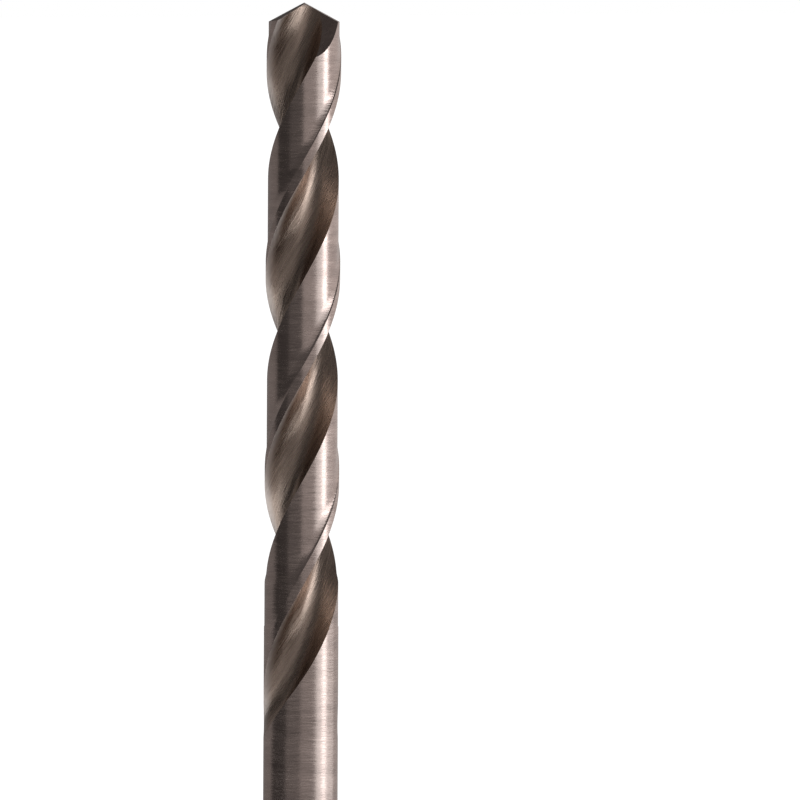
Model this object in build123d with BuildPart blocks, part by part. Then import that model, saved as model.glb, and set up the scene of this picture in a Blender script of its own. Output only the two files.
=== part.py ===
"""Parallel-shank twist drill, right-hand cutting, ground from one bar of tool steel.

The drill stands on its shank end: the origin is the centre of that end face and +Z runs
up the axis to the point.  The two lips lie along X.  It is made in the order of the real
one: the bar with its cleared body and two margins, then the two flutes that climb out of
the bar towards the shank, and last the point.
"""
import os
from math import acos, asin, cos, degrees, pi, radians, sin, sqrt, tan

from build123d import *

# ---- driving dimensions (millimetres and degrees) ----

# Bar and shank
drill_diameter = 7.0
overall_length = 109.0
shank_chamfer = 0.4

# Flutes
flute_length = 69.0  # from the point to the end of the run-out
run_out_length = 8.0  # last stretch, where the flute climbs out of the bar
helix_angle = 30.0  # at the outside diameter
web_thickness = 1.2  # core between the flutes, at the point
web_growth = 0.0175  # thickening of that core for each millimetre towards the shank
nose_radius = 1.68  # round bottom of the flute
lead_bearing = 53.8  # from the middle of that round back to the leading corner
heel_bearing = 43.5  # and on to the heel of the land ahead
rake_root_bearing = 199.2  # place on the round where the rake face leaves it

# Lands
margin_width = 0.8  # full-diameter strip behind each leading edge, measured round the bar
body_clearance = 0.175  # depth ground off the land behind the margin
clearance_length = 58.5  # from the point

# Point
point_angle = 130.0
chisel_angle = 135.0  # between the chisel edge and a lip, as drawings measure it
lip_offset = 0.55  # each lip ahead of the drill's centre line
relief_tilt = 8.7  # lean of each flank cone that backs the flank off behind its lip
chisel_crown = 0.08  # each flank cone's apex ahead of the drill's axis
heel_flat_angle = 58.3  # slope of the flat behind the flank, from the horizontal
heel_flat_bearing = 112.5  # the way it falls, measured backwards from the lip
heel_flat_height = 0.8  # above the point where the flat's plane meets the axis

# How closely the helix is followed
station_pitch = 2.0

# ---- worked out from them ----

bar_radius = drill_diameter / 2
land_radius = bar_radius - body_clearance
lead = pi * drill_diameter / tan(radians(helix_angle))
half_point_angle = radians(point_angle / 2)
corner_bearing = degrees(asin(lip_offset / bar_radius))
corner_height = overall_length - bar_radius / tan(half_point_angle)
overshoot = drill_diameter / 4  # how far cutters run past the surfaces they cut
section_top = overall_length + overshoot
clearance_foot = overall_length - clearance_length
run_out_foot = overall_length - flute_length - run_out_length / 8  # where it is clear of the bar


def flute_lift(height):
    """Distance that the flute has moved outwards from the axis since the point.

    It follows the growing web, then the arc on which the wheel leaves the bar.
    """
    travel = overall_length - height
    web_lift = web_growth * travel / 2
    depth_left = bar_radius - web_thickness / 2 - web_growth * flute_length / 2
    wheel_radius = (run_out_length**2 + depth_left**2) / (2 * depth_left)
    climb = max(0.0, travel - (flute_length - run_out_length))
    return web_lift + wheel_radius - sqrt(wheel_radius**2 - climb**2)


def section_plane(height):
    """Level plane at a height, with its X turned by the helix to the middle of a flute."""
    turn = corner_bearing + lead_bearing + 360 * (height - corner_height) / lead
    return Plane(origin=(0, 0, height), x_dir=Vector(1, 0).rotate(Axis.Z, turn))


def station_heights(bottom, top):
    """Evenly spaced heights from bottom to top, about one station pitch apart."""
    steps = max(1, round((top - bottom) / station_pitch))
    return [bottom + (top - bottom) * step / steps for step in range(steps + 1)]


# ---- flute section: rake face, round nose and heel wall, closed well outside the bar ----

with BuildSketch() as flute_section:
    with BuildLine():
        nose_centre = Vector(web_thickness / 2 + nose_radius, 0)
        leading_corner = Vector(bar_radius, 0).rotate(Axis.Z, -lead_bearing)
        heel_corner = Vector(bar_radius, 0).rotate(Axis.Z, heel_bearing)
        # the rake face leaves the nose smoothly, meets the leading corner and runs on
        root_ray = Vector(1, 0).rotate(Axis.Z, rake_root_bearing)
        rake_root = nose_centre + root_ray * nose_radius
        root_tangent = root_ray.rotate(Axis.Z, 90)
        rake_chord = leading_corner - rake_root
        half_bend = root_tangent.get_signed_angle(rake_chord, Vector(0, 0, 1))
        rake_radius = rake_chord.length / 2 / sin(radians(half_bend))
        rake = JernArc(rake_root, root_tangent, rake_radius, half_bend * 2.5)
        # the heel wall runs from the heel corner to where it just touches the nose
        to_heel = heel_corner - nose_centre
        touch_bearing = degrees(acos(nose_radius / to_heel.length))
        touch_ray = to_heel.normalized().rotate(Axis.Z, touch_bearing)
        wall_foot = nose_centre + touch_ray * nose_radius
        ThreePointArc(wall_foot, (web_thickness / 2, 0), rake_root)
        wall_end = heel_corner + (heel_corner - wall_foot).normalized() * drill_diameter
        rake_end = (rake @ 1) + (rake % 1) * drill_diameter
        Polyline(rake @ 1, rake_end, wall_end, wall_foot)
    make_face()


def margin_strip(lift):
    """Ring sector from inside the cleared land out to full diameter, and on into the flute."""
    lead_shift = degrees(asin(lift * sin(radians(lead_bearing)) / bar_radius))
    strip_start = lead_shift - lead_bearing - degrees(margin_width / bar_radius)
    strip_sweep = degrees(2 * margin_width / bar_radius)
    root = CenterArc((0, 0), land_radius - body_clearance, strip_start, strip_sweep)
    rim = CenterArc((0, 0), bar_radius, strip_start, strip_sweep)
    Line(root @ 0, rim @ 0)
    Line(root @ 1, rim @ 1)


# ---- margin: the strip left at full diameter, up the helix behind the leading edge ----

with BuildPart() as margin:
    for height in station_heights(clearance_foot, section_top):
        with BuildSketch(section_plane(height)):
            with BuildLine():
                margin_strip(flute_lift(height))
            make_face()
    loft()

# ---- flute: its section carried up the helix, from where it leaves the bar ----

with BuildPart() as flute:
    for height in station_heights(run_out_foot, section_top):
        with BuildSketch(section_plane(height)):
            with Locations((flute_lift(height), 0)):
                add(flute_section.sketch)
    loft()

# ---- point: a leaning cone for each flank, and a flat that clears each heel ----

chisel_bearing = 180 - chisel_angle
lean_bearing = chisel_bearing + 90
corner_to_lean = radians(corner_bearing - lean_bearing)
flank_half_angle = acos(
    sin(half_point_angle) * sin(radians(relief_tilt)) * cos(corner_to_lean)
    + cos(half_point_angle) * cos(radians(relief_tilt))
)
crown_rise = chisel_crown / tan(flank_half_angle - radians(relief_tilt))
flank_length = overall_length + drill_diameter

with BuildPart() as flank_cone:
    apex = Vector(chisel_crown, 0, overall_length + crown_rise).rotate(Axis.Z, lean_bearing)
    lean = Vector(sin(radians(relief_tilt)), 0, -cos(radians(relief_tilt)))
    with Locations(Plane(origin=apex, z_dir=-lean.rotate(Axis.Z, lean_bearing))):
        Cone(
            flank_length * tan(flank_half_angle),
            0,
            flank_length,
            align=(Align.CENTER, Align.CENTER, Align.MAX),
        )


flat_slope = radians(heel_flat_angle)
flat_normal = Vector(sin(flat_slope), 0, cos(flat_slope)).rotate(Axis.Z, -heel_flat_bearing)
heel_flat = Plane(origin=(0, 0, overall_length + heel_flat_height), z_dir=flat_normal)
land_side = Vector(1, 0).rotate(Axis.Z, corner_bearing + lead_bearing - 90)

with BuildPart() as heel_cutter:
    with Locations(heel_flat):
        Box(
            2 * drill_diameter,
            2 * drill_diameter,
            drill_diameter,
            align=(Align.CENTER, Align.CENTER, Align.MIN),
        )
    # it stops at the middle of the flutes, so it leaves the other land's lip alone
    split(bisect_by=Plane(origin=(0, 0, 0), z_dir=land_side), keep=Keep.TOP)

# ---- the drill ----

with BuildPart() as twist_drill:
    with BuildSketch(section_plane(clearance_foot)):
        Circle(bar_radius)
    extrude(amount=-clearance_foot)
    chamfer(twist_drill.edges().group_by(Axis.Z)[0], shank_chamfer)
    with BuildSketch(section_plane(clearance_foot)):
        Circle(land_radius)
    extrude(amount=section_top - clearance_foot)
    with PolarLocations(0, 2):
        add(margin.part)
    with PolarLocations(0, 2):
        add(flute.part, mode=Mode.SUBTRACT)
    for lip_bearing in (0, 180):
        with Locations(Location((0, 0, 0), (0, 0, lip_bearing))):
            add(flank_cone.part, mode=Mode.INTERSECT)
    with PolarLocations(0, 2):
        add(heel_cutter.part, mode=Mode.SUBTRACT)

os.makedirs("parts", exist_ok=True)
twist_drill.part.label = "twist_drill"
export_step(twist_drill.part, "parts/twist_drill.step")
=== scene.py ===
"""Ground twist drill: its finished surface, its steel and a small studio, as a Blender add-on.

All sizes of the drill are in millimetres here and become metres when a mesh is made.
"""

from math import acos, asin, atan2, cos, pi, radians, sin, tan

import bmesh
import bpy
import numpy as np
from mathutils import Matrix, Vector


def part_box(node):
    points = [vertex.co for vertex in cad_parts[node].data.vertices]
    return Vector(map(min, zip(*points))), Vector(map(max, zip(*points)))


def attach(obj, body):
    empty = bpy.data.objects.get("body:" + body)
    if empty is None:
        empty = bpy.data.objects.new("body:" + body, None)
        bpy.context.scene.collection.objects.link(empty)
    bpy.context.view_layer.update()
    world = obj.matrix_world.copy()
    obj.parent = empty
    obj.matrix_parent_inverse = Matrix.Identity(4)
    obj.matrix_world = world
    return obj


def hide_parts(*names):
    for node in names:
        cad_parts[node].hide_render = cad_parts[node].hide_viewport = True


bl_info = {
    "name": "Twist Drill",
    "version": (1, 0, 0),
    "blender": (4, 5, 0),
    "location": "View3D > Sidebar > Drill",
    "description": "Ground twist drill with its steel finish and a small studio",
    "category": "Add Mesh",
}

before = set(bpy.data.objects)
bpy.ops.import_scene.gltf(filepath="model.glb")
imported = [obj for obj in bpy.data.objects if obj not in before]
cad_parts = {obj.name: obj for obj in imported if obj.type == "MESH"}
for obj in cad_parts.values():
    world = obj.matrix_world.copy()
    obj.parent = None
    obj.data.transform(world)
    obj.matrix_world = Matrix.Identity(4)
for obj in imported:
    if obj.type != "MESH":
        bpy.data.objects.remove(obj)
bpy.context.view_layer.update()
drill_low, drill_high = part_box("twist_drill")

METRE = 0.001
DRILL_DIAMETER = round((drill_high[0] - drill_low[0]) / METRE, 2)
OVERALL_LENGTH = round((drill_high[2] - drill_low[2]) / METRE, 2)
# Steps of each search by halving, and samples along the flute outline for the chisel's end.
BISECTIONS = 36
CHISEL_SAMPLES = 4000
# How far the heel wall and the rake run on past their corners, as shares of their lengths, so
# that a search finds them at every radius.
WALL_OVERRUN = 1.5
RAKE_OVERRUN = 1.25
# Share of the clearance that the wheel leaves right behind the margin, and the least angle
# that the margin keeps, in radians.
HOLLOW_SHARE = 0.75
LEAST_MARGIN = 1e-4
# The stretches of half the section, going round from a leading corner.
RAKE, WALL, HEEL, LAND, MARGIN = range(5)


# ---------------------------------------------------------------- settings


class DrillSizes(bpy.types.PropertyGroup):
    """Form of the fluted body and of the point, in millimetres and degrees."""

    flute_length: bpy.props.FloatProperty(
        name="Flute length", description="From the point to the end of the run-out", default=69.0)
    run_out_length: bpy.props.FloatProperty(
        name="Run-out", description="Stretch in which the flute climbs out of the bar", default=8.0)
    helix_angle: bpy.props.FloatProperty(
        name="Helix angle", description="At the outside diameter, in degrees", default=30.0)
    web_thickness: bpy.props.FloatProperty(
        name="Web", description="Core between the flutes at the point", default=1.2)
    web_growth: bpy.props.FloatProperty(
        name="Web growth", description="Thickening of the core for each millimetre", default=0.0175)
    nose_radius: bpy.props.FloatProperty(
        name="Flute radius", description="Round bottom of the flute", default=1.68)
    lead_bearing: bpy.props.FloatProperty(
        name="Leading corner", description="Degrees from the middle of the flute", default=53.8)
    heel_bearing: bpy.props.FloatProperty(
        name="Heel corner", description="Degrees from the middle of the flute", default=43.5)
    rake_root_bearing: bpy.props.FloatProperty(
        name="Rake root", description="Where the rake face leaves the round, in degrees",
        default=199.2)
    rake_ease: bpy.props.FloatProperty(
        name="Rake ease", description="Degrees by which the rake flattens at its corner",
        default=20.0)
    rake_ease_reach: bpy.props.FloatProperty(
        name="Rake ease reach", description="Width of the flattened strip", default=1.8)
    margin_width: bpy.props.FloatProperty(
        name="Margin", description="Full-diameter strip behind the leading edge", default=0.8)
    body_clearance: bpy.props.FloatProperty(
        name="Clearance", description="Depth ground off the land", default=0.175)
    clearance_length: bpy.props.FloatProperty(
        name="Clearance length", description="Cleared stretch, from the point", default=58.5)
    clearance_fade: bpy.props.FloatProperty(
        name="Clearance fade", description="Stretch before the shelf with a trace of clearance",
        default=4.1)
    clearance_trace: bpy.props.FloatProperty(
        name="Clearance trace", description="Depth left in that stretch", default=0.035)
    clearance_blend: bpy.props.FloatProperty(
        name="Clearance blend", description="Hollow that the wheel leaves behind the margin",
        default=0.9)
    shank_chamfer: bpy.props.FloatProperty(
        name="Shank chamfer", description="At the plain end", default=0.4)


class PointSizes(bpy.types.PropertyGroup):
    """Form of the ground point, in millimetres and degrees."""

    point_angle: bpy.props.FloatProperty(
        name="Point angle", description="Between the lips, in degrees", default=130.0)
    chisel_angle: bpy.props.FloatProperty(
        name="Chisel angle", description="Between chisel edge and lip, in degrees", default=135.0)
    lip_offset: bpy.props.FloatProperty(
        name="Lip offset", description="Each lip ahead of the centre line", default=0.55)
    relief_tilt: bpy.props.FloatProperty(
        name="Relief tilt", description="Lean of each flank cone, in degrees", default=8.7)
    chisel_crown: bpy.props.FloatProperty(
        name="Chisel crown", description="Cone apex ahead of the axis", default=0.08)
    heel_flat_angle: bpy.props.FloatProperty(
        name="Heel flat slope", description="From the horizontal, in degrees", default=61.2)
    heel_flat_bearing: bpy.props.FloatProperty(
        name="Heel flat bearing", description="Way it falls, back from the lip, in degrees",
        default=116.4)
    heel_flat_height: bpy.props.FloatProperty(
        name="Heel flat height", description="Its plane above the point, on the axis", default=0.9)


class SteelLook(bpy.types.PropertyGroup):
    """Colours and grain of the ground steel."""

    bright_color: bpy.props.FloatVectorProperty(
        name="Ground steel", description="Lands, margins and shank", subtype="COLOR",
        default=(0.67, 0.56, 0.52))
    flute_color: bpy.props.FloatVectorProperty(
        name="Flute steel", description="Wheel-cut flutes", subtype="COLOR",
        default=(0.57, 0.455, 0.385))
    flank_color: bpy.props.FloatVectorProperty(
        name="Flank steel", description="Ground point", subtype="COLOR",
        default=(0.40, 0.325, 0.30))
    line_pitch: bpy.props.FloatProperty(
        name="Line pitch", description="Coarser grinding lines round the lands, in metres",
        default=0.00016, subtype="DISTANCE")


class StudioLook(bpy.types.PropertyGroup):
    """Camera and light."""

    camera_bearing: bpy.props.FloatProperty(
        name="Camera bearing", description="From +X, in degrees", default=-126.4)
    camera_elevation: bpy.props.FloatProperty(
        name="Camera elevation", description="Above the horizon, in degrees", default=2.3)
    camera_distance: bpy.props.FloatProperty(
        name="Camera distance", description="From the drill", default=1.4, subtype="DISTANCE")
    view_width: bpy.props.FloatProperty(
        name="View width", description="Width seen at the drill", default=0.075,
        subtype="DISTANCE")
    axis_offset: bpy.props.FloatProperty(
        name="Axis offset", description="Drill's axis left of the middle of the view",
        default=0.00916, subtype="DISTANCE")
    aim_height: bpy.props.FloatProperty(
        name="Aim height", description="Height at the middle of the view", default=0.07179,
        subtype="DISTANCE")
    roll: bpy.props.FloatProperty(
        name="Roll", description="Lean of the view", default=0.0052, subtype="ANGLE")
    key_strength: bpy.props.FloatProperty(
        name="Key", description="Brightness of the soft box", default=2.0)


# ---------------------------------------------------------------- the drill's form


def ray(bearing):
    """Unit vectors at these bearings in radians, as an array whose last axis is x, y."""
    return np.stack([np.cos(bearing), np.sin(bearing)], axis=-1)


class DrillForm:
    """The drill's surface as formulas.  Heights are in millimetres above the shank end."""

    def __init__(self, sizes, point):
        self.bar_radius = DRILL_DIAMETER / 2
        self.length = OVERALL_LENGTH
        self.flute_length = sizes.flute_length
        self.run_out_length = sizes.run_out_length
        self.web = sizes.web_thickness
        self.web_growth = sizes.web_growth
        self.lead = pi * DRILL_DIAMETER / tan(radians(sizes.helix_angle))
        self.lead_bearing = radians(sizes.lead_bearing)
        self.margin_angle = sizes.margin_width / self.bar_radius
        self.blend_angle = sizes.clearance_blend / self.bar_radius
        self.clearance = sizes.body_clearance
        self.clearance_trace = sizes.clearance_trace
        self.clearance_fade = sizes.clearance_fade
        self.clearance_foot = self.length - sizes.clearance_length
        self.run_out_foot = self.length - sizes.flute_length
        self.chamfer = sizes.shank_chamfer
        self.corner_bearing = asin(point.lip_offset / self.bar_radius)
        half_point = radians(point.point_angle / 2)
        self.corner_height = self.length - self.bar_radius / tan(half_point)
        self._shape_flute(sizes)
        self._shape_point(point, half_point)
        self.chisel_end = self.chisel_place()

    def _shape_flute(self, sizes):
        """Flute outline, by distance along it: straight heel wall, round nose, rake arc.  Near
        the leading corner the rake stands a little proud of its arc, so it faces out more."""
        self.nose_radius = sizes.nose_radius
        self.nose_centre = np.array([self.web / 2 + self.nose_radius, 0.0])
        heel = self.bar_radius * ray(radians(sizes.heel_bearing))
        to_heel = heel - self.nose_centre
        reach = np.linalg.norm(to_heel)
        touch = atan2(to_heel[1], to_heel[0]) + acos(self.nose_radius / reach)
        self.touch_bearing = touch
        self.wall_foot = self.nose_centre + self.nose_radius * ray(touch)
        run = heel - self.wall_foot
        self.wall_way = run / np.linalg.norm(run)
        self.wall_length = WALL_OVERRUN * np.linalg.norm(run)
        self.root_bearing = radians(sizes.rake_root_bearing)
        self.nose_length = self.nose_radius * (self.root_bearing - touch)
        root = self.nose_centre + self.nose_radius * ray(self.root_bearing)
        corner = self.bar_radius * ray(-self.lead_bearing)
        chord = corner - root
        tangent = ray(self.root_bearing + pi / 2)
        bend = 2 * asin((tangent[0] * chord[1] - tangent[1] * chord[0]) / np.linalg.norm(chord))
        self.rake_radius = np.linalg.norm(chord) / (2 * sin(bend / 2))
        self.rake_centre = root - self.rake_radius * ray(self.root_bearing)
        self.corner_length = self.rake_radius * bend
        self.ease_reach = sizes.rake_ease_reach
        self.ease_slope = tan(radians(sizes.rake_ease))
        self.rake_length = self.corner_length * RAKE_OVERRUN
        self.path_end = self.wall_length + self.nose_length + self.rake_length
        self.path_bottom = self.wall_length + self.nose_radius * (pi - touch)

    def _shape_point(self, point, half_point):
        """Each flank is a cone that leans away from its lip; a flat clears each heel."""
        lean_bearing = radians(270 - point.chisel_angle)
        tilt = radians(point.relief_tilt)
        off = cos(self.corner_bearing - lean_bearing)
        self.flank_cosine = sin(half_point) * sin(tilt) * off + cos(half_point) * cos(tilt)
        self.cone_axis = np.append(sin(tilt) * ray(lean_bearing), -cos(tilt))
        rise = point.chisel_crown / tan(acos(self.flank_cosine) - tilt)
        self.cone_apex = np.append(point.chisel_crown * ray(lean_bearing), self.length + rise)
        self.chisel_bearing = radians(180 - point.chisel_angle)
        self.land_side = self.corner_bearing + self.lead_bearing - pi / 2
        self.flat_slope = radians(point.heel_flat_angle)
        self.flat_bearing = radians(-point.heel_flat_bearing)
        self.flat_height = self.length + point.heel_flat_height

    def turn(self, height):
        """Bearing of the first flute's middle: it goes once round in each lead."""
        start = self.corner_bearing + self.lead_bearing
        return start + 2 * pi * (height - self.corner_height) / self.lead

    def lift(self, height):
        """How far the flute has moved outwards: half the web's growth, then the wheel's arc."""
        travel = self.length - height
        depth = self.bar_radius - self.web / 2 - self.web_growth * self.flute_length / 2
        wheel = (self.run_out_length**2 + depth**2) / (2 * depth)
        climb = np.maximum(0.0, travel - (self.flute_length - self.run_out_length))
        return self.web_growth * travel / 2 + wheel - np.sqrt(wheel**2 - climb**2)

    def land_depth(self, height):
        """Depth ground off the land: a trace above the shelf, then the full clearance, joined
        by a smooth step over a quarter of the fade."""
        above = (height - self.clearance_foot - self.clearance_fade) / (self.clearance_fade / 4)
        step = np.clip(above, 0.0, 1.0)
        step = step * step * (3 - 2 * step)
        return self.clearance_trace + (self.clearance - self.clearance_trace) * step

    def path(self, along):
        """Points of the flute outline, in the flute's own frame, at distances along it."""
        along = np.asarray(along, float)[..., None]
        wall = self.wall_foot + (self.wall_length - along) * self.wall_way
        nose_turn = self.touch_bearing + (along[..., 0] - self.wall_length) / self.nose_radius
        nose = self.nose_centre + self.nose_radius * ray(nose_turn)
        past_root = along[..., 0] - self.wall_length - self.nose_length
        rake_turn = self.root_bearing + past_root / self.rake_radius
        to_corner = np.clip((self.corner_length - past_root) / self.ease_reach, -1.0, 1.0)
        ease = to_corner * np.where(to_corner > 0, (1 - to_corner) ** 2, 1.0)
        rake_reach = self.rake_radius - self.ease_slope * self.ease_reach * ease
        rake = self.rake_centre + rake_reach[..., None] * ray(rake_turn)
        on_wall = along < self.wall_length
        on_nose = along < self.wall_length + self.nose_length
        return np.where(on_wall, wall, np.where(on_nose, nose, rake))

    def lifted(self, along, height):
        """The same, moved out by the lift at each height."""
        moved = self.path(along)
        moved[..., 0] += self.lift(height)
        return moved

    def crossing(self, height, radius, side):
        """Where the outline crosses a radius, by halving: side +1 on the rake, -1 on the wall."""
        inner = np.full(np.shape(height), self.path_bottom)
        outer = np.full(np.shape(height), self.path_end if side > 0 else 0.0)
        for _ in range(BISECTIONS):
            middle = (inner + outer) / 2
            point = self.lifted(middle, height)
            inside = np.hypot(point[..., 0], point[..., 1]) < radius
            inner = np.where(inside, middle, inner)
            outer = np.where(inside, outer, middle)
        return inner

    def cone_height(self, x, y, flank):
        """Height of a flank's cone over x, y, from the quadratic that says that the line to
        the apex makes the cone's angle with its axis.  Flank 1 is flank 0 turned half round."""
        facing = 1 - 2 * flank
        across_x = facing * x - self.cone_apex[0]
        across_y = facing * y - self.cone_apex[1]
        along = across_x * self.cone_axis[0] + across_y * self.cone_axis[1]
        span = across_x**2 + across_y**2
        fall = self.cone_axis[2]
        lead_term = fall**2 - self.flank_cosine**2
        root = np.sqrt((along * fall) ** 2 - lead_term * (along**2 - self.flank_cosine**2 * span))
        return self.cone_apex[2] + (-along * fall - root) / lead_term

    def point_height(self, x, y):
        """The lower of the two flank cones."""
        return np.minimum(self.cone_height(x, y, 0), self.cone_height(x, y, 1))

    def chisel_place(self):
        """Distance along the flute outline at which the chisel edge ends in the flute."""
        along = np.linspace(self.path_bottom, self.path_end, CHISEL_SAMPLES)
        height = np.full(along.shape, self.length)
        for _ in range(BISECTIONS):
            spot = self._turned(self.lifted(along, height), height)
            height = self.point_height(spot[..., 0], spot[..., 1])
        bearing = np.unwrap(np.arctan2(spot[..., 1], spot[..., 0])) - self.chisel_bearing
        first = np.argmax(np.diff(np.sign(bearing)) != 0)
        share = bearing[first] / (bearing[first] - bearing[first + 1])
        return along[first] + share * (along[first + 1] - along[first])

    def _turned(self, local, height, half=0.0):
        """Local flute points turned to their bearing at each height."""
        angle = self.turn(height) + half
        c, s = np.cos(angle), np.sin(angle)
        x = local[..., 0] * c - local[..., 1] * s
        y = local[..., 0] * s + local[..., 1] * c
        return np.stack([x, y], axis=-1)

    def wall(self, columns, height, cleared):
        """Points of the fluted wall for columns at heights, both grids of one shape.

        A column keeps its place in its stretch: along the flute outline between the leading
        corner, the chisel's end and the heel, or round the land and the margin by angle."""
        kind, share, half = columns
        shape = np.broadcast_shapes(kind.shape, height.shape)
        kind, share, half, height = (
            np.broadcast_to(a, shape) for a in (kind, share, half, height))
        cleared = np.broadcast_to(cleared, shape)
        depth = self.land_depth(height)
        land_radius = self.bar_radius - depth
        lead_at = self.crossing(height, self.bar_radius, 1)
        low_heel = self.crossing(height, land_radius, -1)
        heel_at = np.where(cleared, low_heel, self.crossing(height, self.bar_radius, -1))
        middle = np.clip(self.chisel_end, low_heel, lead_at)
        along = np.select(
            [kind == RAKE, kind == WALL, kind == HEEL],
            [lead_at + (middle - lead_at) * share, middle + (low_heel - middle) * share,
             low_heel + (heel_at - low_heel) * share],
            heel_at)
        flute_point = self.lifted(along, height)
        heel_turn = np.arctan2(flute_point[..., 1], flute_point[..., 0])
        lead_point = self.lifted(lead_at, height)
        lead_turn = np.arctan2(lead_point[..., 1], lead_point[..., 0]) + pi
        drift = np.arcsin(self.lift(height) * sin(self.lead_bearing) / self.bar_radius)
        back_turn = np.minimum(
            drift - self.lead_bearing - self.margin_angle + pi, lead_turn - LEAST_MARGIN)
        land_turn = heel_turn + (back_turn - heel_turn) * share
        hollow = np.clip(1 - (back_turn - land_turn) / self.blend_angle, 0, 1) ** 2
        hollowed = land_radius + HOLLOW_SHARE * depth * hollow
        land_reach = np.where(cleared, hollowed, self.bar_radius)
        margin_turn = back_turn + (lead_turn - back_turn) * share
        bearing = np.where(kind == LAND, land_turn, margin_turn)
        reach = np.where(kind == LAND, land_reach, self.bar_radius)
        round_point = ray(bearing) * reach[..., None]
        local = np.where((kind <= HEEL)[..., None], flute_point, round_point)
        return self._turned(local, height, half), along, lead_at - along


# Columns of the wall: how many each stretch of half the section has.  The rake has as many
# as the heel wall and the heel together, so that they face each other across the flank.
RAKE_COLUMNS = 28
WALL_COLUMNS = 26
HEEL_COLUMNS = 2
LAND_COLUMNS = 40
MARGIN_COLUMNS = 7
# Rows stand this far apart, in millimetres, up to the foot of the point. From there each
# column has its own even rows up to where it meets the point, looked for this far past it.
ROW_PITCH = 0.25
POINT_FOOT = 103.0
POINT_ROWS = 40
POINT_SEARCH = 0.5
# Points nearer than this, in metres, become one, and steeper edges than this stay sharp.
WELD = 2e-7
SHARP_ANGLE = radians(20)
FINISHES = ("Land steel", "Flute steel", "Flank steel")
FLANK_FINISH = FINISHES.index("Flank steel")


def wall_columns():
    """Kind, share and half-turn of each column, going round the drill from a leading corner."""
    kinds, shares = [], []
    stretches = (
        (RAKE, RAKE_COLUMNS), (WALL, WALL_COLUMNS), (HEEL, HEEL_COLUMNS),
        (LAND, LAND_COLUMNS), (MARGIN, MARGIN_COLUMNS))
    for kind, count in stretches:
        kinds.append(np.full(count, kind))
        shares.append(np.linspace(0, 1, count, endpoint=False))
    kind = np.concatenate(kinds + kinds)
    share = np.concatenate(shares + shares)
    half = np.repeat([0.0, pi], len(kind) // 2)
    return kind, share, half


def top_heights(form, columns):
    """Height at which each column meets the point, by halving."""
    low = np.full(columns[0].shape, POINT_FOOT)
    high = np.full(columns[0].shape, form.length + POINT_SEARCH)
    for _ in range(BISECTIONS):
        middle = (low + high) / 2
        spot = form.wall(columns, middle, True)[0]
        under = middle < form.point_height(spot[..., 0], spot[..., 1])
        low = np.where(under, middle, low)
        high = np.where(under, high, middle)
    return low


def body_rows(form, columns):
    """Grid of points, one row after another, from the shank's end face up to the point, and
    each point's distance along the flute outline and from its leading edge.  The row at the
    end of the clearance comes twice, at full diameter and cleared, which makes its shelf."""
    foot, shelf = form.run_out_foot, form.clearance_foot
    below = np.linspace(foot, shelf, round((shelf - foot) / ROW_PITCH) + 1)
    above = np.linspace(shelf, POINT_FOOT, round((POINT_FOOT - shelf) / ROW_PITCH) + 1)
    climb = np.linspace(0, 1, POINT_ROWS + 1)[1:, None]
    near_point = POINT_FOOT + (top_heights(form, columns) - POINT_FOOT)[None, :] * climb
    count = len(columns[0])
    level = np.concatenate([below, above])[:, None]
    heights = np.concatenate([np.repeat(level, count, axis=1), near_point])
    cleared = (np.arange(len(heights)) >= len(below))[:, None]
    spots, along, edge = form.wall(columns, heights, cleared)
    grid = np.concatenate([spots, heights[..., None]], axis=-1)
    bearing = ray(np.arctan2(spots[0, :, 1], spots[0, :, 0]))
    end_ring = np.column_stack([bearing * (form.bar_radius - form.chamfer), np.zeros(count)])
    chamfer_ring = np.column_stack([bearing * form.bar_radius, np.full(count, form.chamfer)])
    points = np.concatenate([np.stack([end_ring, chamfer_ring]), grid])
    marks = np.stack([along, edge], axis=-1)
    return points, np.concatenate([marks[:1], marks[:1], marks])


def grid_faces(rows, columns, closed):
    """Quads between neighbouring rows and columns of a grid, as an array of four corners."""
    row = np.arange(rows - 1)[:, None]
    column = np.arange(columns if closed else columns - 1)[None, :]
    following = (column + 1) % columns
    low, high = row * columns, (row + 1) * columns
    corners = np.broadcast_arrays(low + column, low + following, high + following, high + column)
    return np.stack(corners, axis=-1).reshape(-1, 4)


def flank_patch(form, ring, flank):
    """One flank between its four sides: the chisel edge, the other flute's heel wall, the
    land's rim and the lip.  Each point in plan is the blend of the two points across minus
    the blend of the four corners, and its height is the cone's."""
    count = len(ring)
    start = RAKE_COLUMNS + (1 - flank) * count // 2
    rim_start = start + WALL_COLUMNS + HEEL_COLUMNS
    rim_end = rim_start + LAND_COLUMNS + MARGIN_COLUMNS
    heel_side = ring[np.arange(start, rim_start + 1) % count]
    rim = ring[np.arange(rim_start, rim_end + 1) % count]
    lip = ring[np.arange(rim_end + RAKE_COLUMNS, rim_end - 1, -1) % count]
    across = np.linspace(0, 1, len(rim))[:, None, None]
    outward = np.linspace(0, 1, len(lip))[None, :, None]
    chisel = heel_side[0] + (lip[0] - heel_side[0]) * across[:, 0]
    corners = (
        (1 - across) * (1 - outward) * heel_side[0] + across * (1 - outward) * lip[0]
        + (1 - across) * outward * rim[0] + across * outward * rim[-1])
    patch = (
        (1 - across) * heel_side[None] + across * lip[None]
        + (1 - outward) * chisel[:, None] + outward * rim[:, None] - corners)
    patch[..., 2] = form.cone_height(patch[..., 0], patch[..., 1], flank)
    patch[0] = heel_side
    patch[-1] = lip
    patch[:, -1] = rim
    return patch


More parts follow.
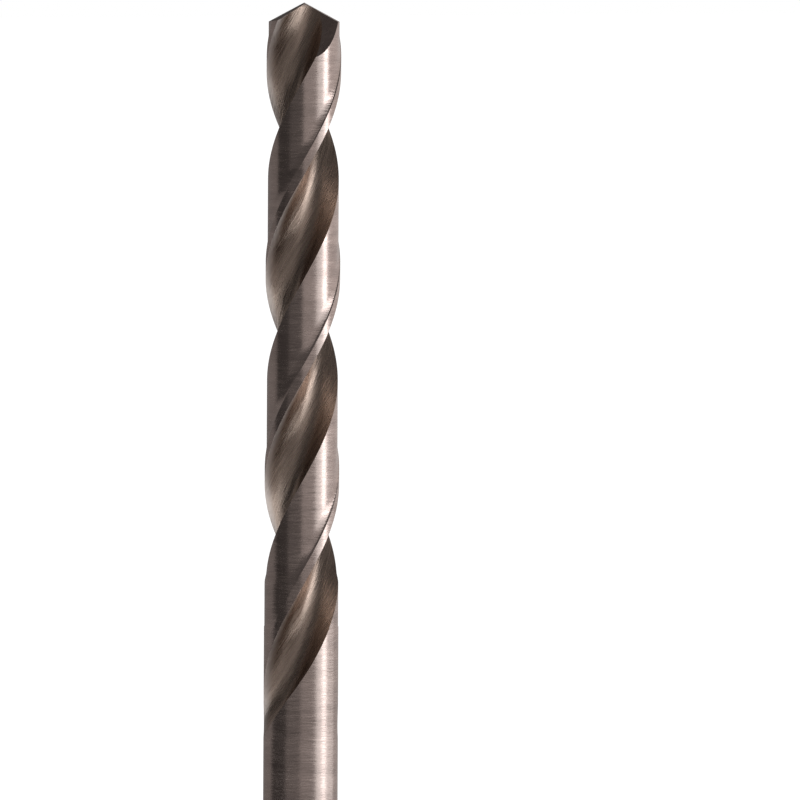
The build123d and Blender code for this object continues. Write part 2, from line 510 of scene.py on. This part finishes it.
def drill_arrays(form):
    """Points, faces, finish of each face, and the two distances of each point."""
    columns = wall_columns()
    grid, marks = body_rows(form, columns)
    rows, count = grid.shape[:2]
    in_flute = np.tile(columns[0] <= WALL, rows - 1)
    patches = [flank_patch(form, grid[-1], flank) for flank in (0, 1)]
    size = patches[0][..., 0].size
    patch_quads = grid_faces(*patches[0].shape[:2], closed=False)
    base = rows * count
    points = np.concatenate([grid.reshape(-1, 3)] + [p.reshape(-1, 3) for p in patches])
    quads = np.concatenate(
        [grid_faces(rows, count, closed=True), base + patch_quads, base + size + patch_quads])
    finish = np.concatenate([in_flute.astype(int), np.full(2 * len(patch_quads), FLANK_FINISH)])
    marks = np.concatenate([marks.reshape(-1, 2), np.zeros((2 * size, 2))])
    return points, quads, finish, marks


def clear_heel(mesh, form, flank):
    """Cuts the heel flat on one land only and closes the cut with a flat face."""
    side = Vector(ray(form.land_side + flank * pi))
    fall = sin(form.flat_slope) * ray(form.flat_bearing + flank * pi)
    middles = np.array([face.calc_center_median() for face in mesh.faces])
    chosen = (middles[:, 2] > POINT_FOOT * METRE) & (middles[:, :2] @ np.array(side) > 0)
    mesh.faces.ensure_lookup_table()
    own = [mesh.faces[place] for place in np.flatnonzero(chosen)]
    edges = dict.fromkeys(edge for face in own for edge in face.edges)
    corners = dict.fromkeys(corner for face in own for corner in face.verts)
    cut = bmesh.ops.bisect_plane(
        mesh, geom=own + list(edges) + list(corners), dist=WELD,
        plane_co=(0, 0, form.flat_height * METRE), plane_no=(*fall, cos(form.flat_slope)),
        clear_outer=True)
    rim = [part for part in cut["geom_cut"] if isinstance(part, bmesh.types.BMEdge)]
    filled = bmesh.ops.holes_fill(mesh, edges=rim, sides=0)["faces"]
    for face in filled:
        face.material_index = FLANK_FINISH
    bmesh.ops.triangulate(mesh, faces=filled)


def new_mesh(name, points, faces, finish, marks):
    """Mesh with a finish for each face, and the distance across the flute and from its edge."""
    data = bpy.data.meshes.new(name)
    data.from_pydata((points * METRE).tolist(), [], faces.tolist())
    data.polygons.foreach_set("material_index", finish.astype(np.int32))
    for mark, values in zip(("across", "edge"), marks.T):
        data.attributes.new(mark, "FLOAT", "POINT").data.foreach_set("value", values * METRE)
    return data


class MESH_OT_twist_drill(bpy.types.Operator):
    """Make the twist drill: fluted wall, two flanks and heel flats, welded into one skin"""

    bl_idname = "mesh.twist_drill"
    bl_label = "Twist drill"

    def execute(self, context):
        scene = context.scene
        form = DrillForm(scene.drill_sizes, scene.drill_point)
        data = new_mesh("twist_drill_skin", *drill_arrays(form))
        mesh = bmesh.new()
        mesh.from_mesh(data)
        bmesh.ops.remove_doubles(mesh, verts=mesh.verts, dist=WELD)
        foot = [edge for edge in mesh.edges if edge.is_boundary]
        bmesh.ops.holes_fill(mesh, edges=foot, sides=0)
        for flank in (0, 1):
            clear_heel(mesh, form, flank)
        bmesh.ops.recalc_face_normals(mesh, faces=mesh.faces)
        open_edges = [edge for edge in mesh.edges if not edge.is_manifold]
        if open_edges:
            raise RuntimeError(f"the drill's skin has {len(open_edges)} open edges")
        mesh.to_mesh(data)
        mesh.free()
        data.polygons.foreach_set("use_smooth", np.ones(len(data.polygons), bool))
        data.set_sharp_from_angle(angle=SHARP_ANGLE)
        for finish_name in FINISHES:
            data.materials.append(bpy.data.materials[finish_name])
        piece = bpy.data.objects.new("ground_drill", data)
        scene.collection.objects.link(piece)
        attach(piece, "root")
        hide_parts("twist_drill")
        return {"FINISHED"}


# ---------------------------------------------------------------- materials

# Lines and patches share the colour's mix in these parts, and the bump is this deep in metres.
LINE_SHARE = 0.45
PATCH_SHARE = 0.55
BUMP_DEPTH = 6e-5
# At the leading edge the steel goes this far towards a pale colour, which is a painted highlight,
# and this much duller from wear.
EDGE_WEAR_AND_HIGHLIGHT = 0.8
EDGE_DULLING = 0.16
EDGE_HIGHLIGHT_COLOR = (0.72, 0.66, 0.63, 1.0)
# In the flutes the lines cross the flute at this slope.
FLUTE_SLANT = 0.45


def add_node(tree, kind, place, **settings):
    """Adds a node at a place in the tree and sets its properties and plain inputs."""
    node = tree.nodes.new(kind)
    node.location = place
    for key, value in settings.items():
        if hasattr(node, key):
            setattr(node, key, value)
        else:
            node.inputs[key.replace("_", " ").title()].default_value = value
    return node


def grinding_group():
    """Node group: long fine lines and soft patches from a vector already stretched to suit."""
    group = bpy.data.node_groups.new("Grinding lines", "ShaderNodeTree")
    sockets = group.interface
    sockets.new_socket("Vector", in_out="INPUT", socket_type="NodeSocketVector")
    for name, value in (("Line scale", 1.0), ("Patch scale", 0.1)):
        socket = sockets.new_socket(name, in_out="INPUT", socket_type="NodeSocketFloat")
        socket.default_value = value
    for name in ("Lines", "Patches"):
        sockets.new_socket(name, in_out="OUTPUT", socket_type="NodeSocketFloat")
    entry = add_node(group, "NodeGroupInput", (-600, 0))
    leave = add_node(group, "NodeGroupOutput", (400, 0))
    lines = add_node(group, "ShaderNodeTexNoise", (-200, 150), detail=3.0, roughness=0.65)
    patches = add_node(group, "ShaderNodeTexNoise", (-200, -150), detail=4.0, roughness=0.6)
    link = group.links.new
    for noise, name in ((lines, "Line scale"), (patches, "Patch scale")):
        link(entry.outputs["Vector"], noise.inputs["Vector"])
        link(entry.outputs[name], noise.inputs["Scale"])
    link(lines.outputs["Fac"], leave.inputs["Lines"])
    link(patches.outputs["Fac"], leave.inputs["Patches"])
    return group


def ramp(tree, place, stops):
    """Colour ramp from (position, value) or (position, colour) stops."""
    node = tree.nodes.new("ShaderNodeValToRGB")
    node.location = place
    elements = node.color_ramp.elements
    while len(elements) < len(stops):
        elements.new(0.5)
    for element, (position, value) in zip(elements, stops):
        element.position = position
        colour = value if isinstance(value, tuple) else (value, value, value)
        element.color = (*colour, 1.0)
    return node


def steel(name, group, colour, dark, roughness, spread, bump, aniso=0.0, edge_reach=0.0):
    """Ground steel: lines bump the surface and vary its gloss, lines and patches its colour.
    With an edge reach, the steel turns duller towards the leading edge, and paler there, which is a
    painted highlight.

    Returns the material and its grain node, which takes the stretched vector."""
    material = bpy.data.materials.new(name)
    material.use_nodes = True
    tree = material.node_tree
    link = tree.links.new
    shader = tree.nodes["Principled BSDF"]
    shader.location = (900, 0)
    tree.nodes["Material Output"].location = (1200, 0)
    shader.inputs["Metallic"].default_value = 1.0
    shader.inputs["Anisotropic"].default_value = aniso
    grain = add_node(tree, "ShaderNodeGroup", (-300, 0), node_tree=group)
    shade = add_node(tree, "ShaderNodeMath", (-100, 250), operation="MULTIPLY_ADD")
    shade.inputs[1].default_value = LINE_SHARE
    patchy = add_node(tree, "ShaderNodeMath", (-200, 400), operation="MULTIPLY")
    patchy.inputs[1].default_value = PATCH_SHARE
    shaded = tuple(part * dark for part in colour)
    tone = ramp(tree, (100, 200), ((0.34, shaded), (0.62, tuple(colour))))
    gloss = ramp(tree, (100, -50), ((0.3, roughness - spread), (0.7, roughness + spread)))
    relief = add_node(tree, "ShaderNodeBump", (600, -300), strength=bump, distance=BUMP_DEPTH)
    link(grain.outputs["Patches"], patchy.inputs[0])
    link(patchy.outputs[0], shade.inputs[2])
    link(grain.outputs["Lines"], shade.inputs[0])
    link(shade.outputs[0], tone.inputs["Fac"])
    link(grain.outputs["Lines"], gloss.inputs["Fac"])
    link(grain.outputs["Lines"], relief.inputs["Height"])
    link(relief.outputs["Normal"], shader.inputs["Normal"])
    colour_out, gloss_out = tone.outputs["Color"], gloss.outputs["Color"]
    if edge_reach:
        edge = add_node(tree, "ShaderNodeAttribute", (100, -500), attribute_name="edge")
        near = add_node(tree, "ShaderNodeMapRange", (300, -500), interpolation_type="SMOOTHSTEP")
        near.inputs["From Max"].default_value = edge_reach
        near.inputs["To Min"].default_value = EDGE_WEAR_AND_HIGHLIGHT
        near.inputs["To Max"].default_value = 0.0
        duller = add_node(tree, "ShaderNodeMath", (600, -100), operation="MULTIPLY_ADD")
        duller.inputs[1].default_value = EDGE_DULLING
        # painted highlight: the colour goes pale towards the leading edge
        paler = add_node(tree, "ShaderNodeMix", (600, 200), data_type="RGBA")
        paler.inputs["B"].default_value = EDGE_HIGHLIGHT_COLOR
        link(edge.outputs["Fac"], near.inputs["Value"])
        link(near.outputs["Result"], duller.inputs[0])
        link(gloss_out, duller.inputs[2])
        link(near.outputs["Result"], paler.inputs["Factor"])
        link(colour_out, paler.inputs["A"])
        colour_out, gloss_out = paler.outputs["Result"], duller.outputs[0]
    link(colour_out, shader.inputs["Base Color"])
    link(gloss_out, shader.inputs["Roughness"])
    return material, grain


def stretched(tree, source, scale, target):
    """Feeds a vector, multiplied by a scale, into a grinding group's vector input."""
    multiply = add_node(tree, "ShaderNodeVectorMath", (-600, 0), operation="MULTIPLY")
    multiply.inputs[1].default_value = scale
    tree.links.new(source, multiply.inputs[0])
    tree.links.new(multiply.outputs["Vector"], target.inputs["Vector"])


class MESH_OT_drill_steel(bpy.types.Operator):
    """Make the three finishes of the ground steel"""

    bl_idname = "mesh.drill_steel"
    bl_label = "Drill steel"

    def execute(self, context):
        look = context.scene.drill_look
        group = grinding_group()
        fine = 1.0 / look.line_pitch
        # round the lands and the shank the lines run level, so the grain is squeezed in Z
        land, grain = steel(
            FINISHES[0], group, look.bright_color, 0.68, 0.22, 0.07, 0.30, aniso=0.3)
        where = add_node(land.node_tree, "ShaderNodeTexCoord", (-900, 0))
        stretched(land.node_tree, where.outputs["Object"], (fine / 9, fine / 9, fine), grain)
        grain.inputs["Line scale"].default_value = 1.0
        grain.inputs["Patch scale"].default_value = 0.16
        # in the flutes the lines follow the wheel, which crosses the flute at a slant
        # towards the leading edge the flute steel gets a painted highlight and turns duller
        flute, grain = steel(
            FINISHES[1], group, look.flute_color, 0.64, 0.28, 0.06, 0.45, edge_reach=0.0009)
        tree = flute.node_tree
        where = add_node(tree, "ShaderNodeTexCoord", (-1400, 0))
        split = add_node(tree, "ShaderNodeSeparateXYZ", (-1200, 0))
        across = add_node(tree, "ShaderNodeAttribute", (-1200, -200), attribute_name="across")
        place = add_node(tree, "ShaderNodeCombineXYZ", (-900, 0))
        tree.links.new(where.outputs["Object"], split.inputs["Vector"])
        slant = add_node(tree, "ShaderNodeMath", (-1050, -100), operation="MULTIPLY_ADD")
        slant.inputs[1].default_value = FLUTE_SLANT
        tree.links.new(split.outputs["Z"], slant.inputs[0])
        tree.links.new(across.outputs["Fac"], slant.inputs[2])
        tree.links.new(slant.outputs[0], place.inputs["X"])
        tree.links.new(split.outputs["Z"], place.inputs["Y"])
        stretched(tree, place.outputs["Vector"], (fine, fine / 22, 1.0), grain)
        grain.inputs["Line scale"].default_value = 1.2
        grain.inputs["Patch scale"].default_value = 0.3
        flank, grain = steel(FINISHES[2], group, look.flank_color, 0.75, 0.3, 0.05, 0.5)
        where = add_node(flank.node_tree, "ShaderNodeTexCoord", (-900, 0))
        stretched(flank.node_tree, where.outputs["Object"], (fine / 3, fine, fine / 3), grain)
        grain.inputs["Line scale"].default_value = 1.0
        grain.inputs["Patch scale"].default_value = 0.3
        return {"FINISHED"}


# ---------------------------------------------------------------- studio


# Grey screens stand round the drill in rings, each swept from its profile of (reach, height).
RINGS = {
    "inner": ((0.0045, 0.0003), (0.090, 0.002)),
    "outer": ((0.090, 0.002), (0.340, 0.008), (0.400, 0.020)),
    "foot": ((0.400, 0.020), (0.402, 0.032)),
    "wall": ((0.402, 0.032), (0.420, 0.170)),
    "roof": ((0.420, 0.170), (0.400, 0.420), (0.200, 0.520), (0.002, 0.540)),
}
# Each grey screen's ring, where it starts and ends in degrees to the right of the camera's own
# bearing, and its brightness. Between the screens the steel shows the white floor and backdrop.
SCREENS = (
    ("inner", -35, 235, 0.35),
    ("outer", -180, -100, 0.20), ("outer", -100, -45, 0.05), ("outer", -45, 50, 0.20),
    ("outer", 120, 180, 0.40),
    ("foot", -180, -100, 0.20), ("foot", -100, -75, 0.05), ("foot", -75, 0, 0.10),
    ("foot", 0, 50, 0.40), ("foot", 95, 180, 0.40),
    ("wall", -180, -90, 0.20), ("wall", -90, -45, 0.05), ("wall", -45, 0, 0.10),
    ("wall", 0, 45, 0.40), ("wall", 85, 180, 0.60),
    ("roof", -180, 95, 0.10), ("roof", 95, 180, 0.40),
)
SCREEN_TINT = (1.05, 0.98, 0.955)
SCREEN_STEP = 3.0
# The soft box: the degrees that it spans, its height, where its middle stands and where it
# aims, all in metres.
KEY_SPAN = (69, 85)
KEY_HEIGHT = 0.21
KEY_MIDDLE = 0.09
KEY_DISTANCE = 0.6
KEY_AIM = 0.06
KEY_TINT = (1.0, 0.97, 0.98)
# Light that the floor adds where it is seen, and half its side in metres.
FLOOR_GLOW = 0.2
FLOOR_HALF = 6.0
SENSOR_WIDTH = 36.0


def glow(name, colour, strength):
    """Plain emission material."""
    material = bpy.data.materials.new(name)
    material.use_nodes = True
    tree = material.node_tree
    tree.nodes.clear()
    light = add_node(tree, "ShaderNodeEmission", (0, 0))
    light.inputs["Color"].default_value = (*colour, 1.0)
    light.inputs["Strength"].default_value = strength
    leave = add_node(tree, "ShaderNodeOutputMaterial", (300, 0))
    tree.links.new(light.outputs["Emission"], leave.inputs["Surface"])
    return material


def screen(name, ring, start, end, front, material):
    """Curved screen between two bearings: its ring's profile swept round the drill."""
    steps = max(2, round((end - start) / SCREEN_STEP)) + 1
    bearing = front + np.radians(np.linspace(start, end, steps))
    profile = np.array(RINGS[ring])
    reach = profile[:, 0][:, None, None] * ray(bearing)[None]
    height = np.broadcast_to(profile[:, 1][:, None, None], (*reach.shape[:2], 1))
    points = np.concatenate([reach, height], axis=-1).reshape(-1, 3)
    data = bpy.data.meshes.new(name)
    faces = grid_faces(len(profile), steps, closed=False)
    data.from_pydata(points.tolist(), [], faces.tolist())
    data.materials.append(material)
    thing = bpy.data.objects.new(name, data)
    bpy.context.scene.collection.objects.link(thing)
    thing.visible_camera = False
    thing.visible_diffuse = False
    thing.visible_shadow = False


def seen_white(tree, place):
    """Value that is 1 for what the camera, metal and glass see, and 0 for other light."""
    path = add_node(tree, "ShaderNodeLightPath", place)
    first = add_node(tree, "ShaderNodeMath", (place[0] + 200, place[1]), operation="MAXIMUM")
    second = add_node(tree, "ShaderNodeMath", (place[0] + 400, place[1]), operation="MAXIMUM")
    tree.links.new(path.outputs["Is Camera Ray"], first.inputs[0])
    tree.links.new(path.outputs["Is Glossy Ray"], first.inputs[1])
    tree.links.new(first.outputs[0], second.inputs[0])
    tree.links.new(path.outputs["Is Transmission Ray"], second.inputs[1])
    return second.outputs[0]


def white_world(scene):
    """Plain white world of strength 1, for the camera, the steel and all other light."""
    world = bpy.data.worlds.new("Studio")
    world.use_nodes = True
    scene.world = world
    tree = world.node_tree
    back = tree.nodes["Background"]
    back.inputs["Color"].default_value = (1.0, 1.0, 1.0, 1.0)
    back.inputs["Strength"].default_value = 1.0


def white_floor(scene):
    """Large pale floor that reads white and still darkens under the drill."""
    half = FLOOR_HALF
    data = bpy.data.meshes.new("floor")
    corners = [(-half, -half, 0), (half, -half, 0), (half, half, 0), (-half, half, 0)]
    data.from_pydata(corners, [], [(0, 1, 2, 3)])
    floor = bpy.data.objects.new("floor", data)
    scene.collection.objects.link(floor)
    material = bpy.data.materials.new("Pale floor")
    material.use_nodes = True
    tree = material.node_tree
    shader = tree.nodes["Principled BSDF"]
    shader.inputs["Base Color"].default_value = (0.9, 0.9, 0.9, 1.0)
    shader.inputs["Roughness"].default_value = 0.9
    shader.inputs["Specular IOR Level"].default_value = 0.0
    shader.inputs["Emission Color"].default_value = (1.0, 1.0, 1.0, 1.0)
    part = add_node(tree, "ShaderNodeMath", (-200, -200), operation="MULTIPLY")
    part.inputs[1].default_value = FLOOR_GLOW
    tree.links.new(seen_white(tree, (-900, -200)), part.inputs[0])
    tree.links.new(part.outputs[0], shader.inputs["Emission Strength"])
    data.materials.append(material)


def area_light(scene, name, bearing, distance, height, size, colour, radiance):
    """Rectangular lamp that faces the drill, with a power that gives its own brightness."""
    lamp = bpy.data.lights.new(name, "AREA")
    lamp.shape = "RECTANGLE"
    lamp.size, lamp.size_y = size
    lamp.color = colour
    lamp.energy = radiance * pi * size[0] * size[1]
    thing = bpy.data.objects.new(name, lamp)
    scene.collection.objects.link(thing)
    place = Vector((*(distance * ray(bearing)), height))
    thing.location = place
    thing.rotation_euler = (place - Vector((0, 0, KEY_AIM))).to_track_quat("Z", "Y").to_euler()


class SCENE_OT_drill_studio(bpy.types.Operator):
    """Make the floor, the light, the screens and the camera"""

    bl_idname = "scene.drill_studio"
    bl_label = "Drill studio"

    def execute(self, context):
        scene = context.scene
        look = scene.drill_studio
        scene.view_settings.view_transform = "Standard"
        front = radians(look.camera_bearing)
        white_world(scene)
        white_floor(scene)
        for number, (ring, start, end, level) in enumerate(SCREENS):
            name = f"{ring}_screen_{number}"
            screen(name, ring, start, end, front, glow(name, SCREEN_TINT, level))
        middle = front + radians(sum(KEY_SPAN) / 2)
        width = 2 * KEY_DISTANCE * tan(radians((KEY_SPAN[1] - KEY_SPAN[0]) / 2))
        area_light(
            scene, "key", middle, KEY_DISTANCE, KEY_MIDDLE, (width, KEY_HEIGHT), KEY_TINT,
            look.key_strength)
        self.place_camera(scene, look, front)
        return {"FINISHED"}

    def place_camera(self, scene, look, front):
        """Long lens from the front, a little above, with the drill left of the middle."""
        raised = radians(look.camera_elevation)
        back = Vector((cos(front) * cos(raised), sin(front) * cos(raised), sin(raised)))
        level = Vector((-sin(front), cos(front), 0))
        above = back.cross(level)
        right = level * cos(look.roll) + above * sin(look.roll)
        up = back.cross(right)
        aim = Vector((0, 0, look.aim_height)) + level * look.axis_offset
        place = aim + back * look.camera_distance
        lens = bpy.data.cameras.new("camera")
        lens.sensor_width = SENSOR_WIDTH
        lens.lens = SENSOR_WIDTH * look.camera_distance / look.view_width
        lens.clip_start = 0.05
        lens.clip_end = 30.0
        camera = bpy.data.objects.new("camera", lens)
        scene.collection.objects.link(camera)
        turn = Matrix((right, up, back)).transposed()
        camera.matrix_world = Matrix.Translation(place) @ turn.to_4x4()
        scene.camera = camera


class VIEW3D_PT_drill(bpy.types.Panel):
    """Panel with the drill's sizes, its look and its studio"""

    bl_label = "Twist drill"
    bl_space_type = "VIEW_3D"
    bl_region_type = "UI"
    bl_category = "Drill"

    def draw(self, context):
        groups = (
            (context.scene.drill_sizes, DrillSizes), (context.scene.drill_point, PointSizes),
            (context.scene.drill_look, SteelLook), (context.scene.drill_studio, StudioLook))
        for group, kind in groups:
            box = self.layout.box()
            for name in kind.__annotations__:
                box.prop(group, name)
        self.layout.operator("mesh.drill_steel")
        self.layout.operator("mesh.twist_drill")
        self.layout.operator("scene.drill_studio")


CLASSES = (
    DrillSizes, PointSizes, SteelLook, StudioLook, MESH_OT_drill_steel, MESH_OT_twist_drill,
    SCENE_OT_drill_studio, VIEW3D_PT_drill)
GROUPS = (
    ("drill_sizes", DrillSizes), ("drill_point", PointSizes), ("drill_look", SteelLook),
    ("drill_studio", StudioLook))


def register():
    for kind in CLASSES:
        bpy.utils.register_class(kind)
    for name, kind in GROUPS:
        setattr(bpy.types.Scene, name, bpy.props.PointerProperty(type=kind))


def unregister():
    for name, _kind in GROUPS:
        delattr(bpy.types.Scene, name)
    for kind in reversed(CLASSES):
        bpy.utils.unregister_class(kind)


def main():
    register()
    bpy.ops.mesh.drill_steel()
    bpy.ops.mesh.twist_drill()
    bpy.ops.scene.drill_studio()


if __name__ == "__main__":
    main()
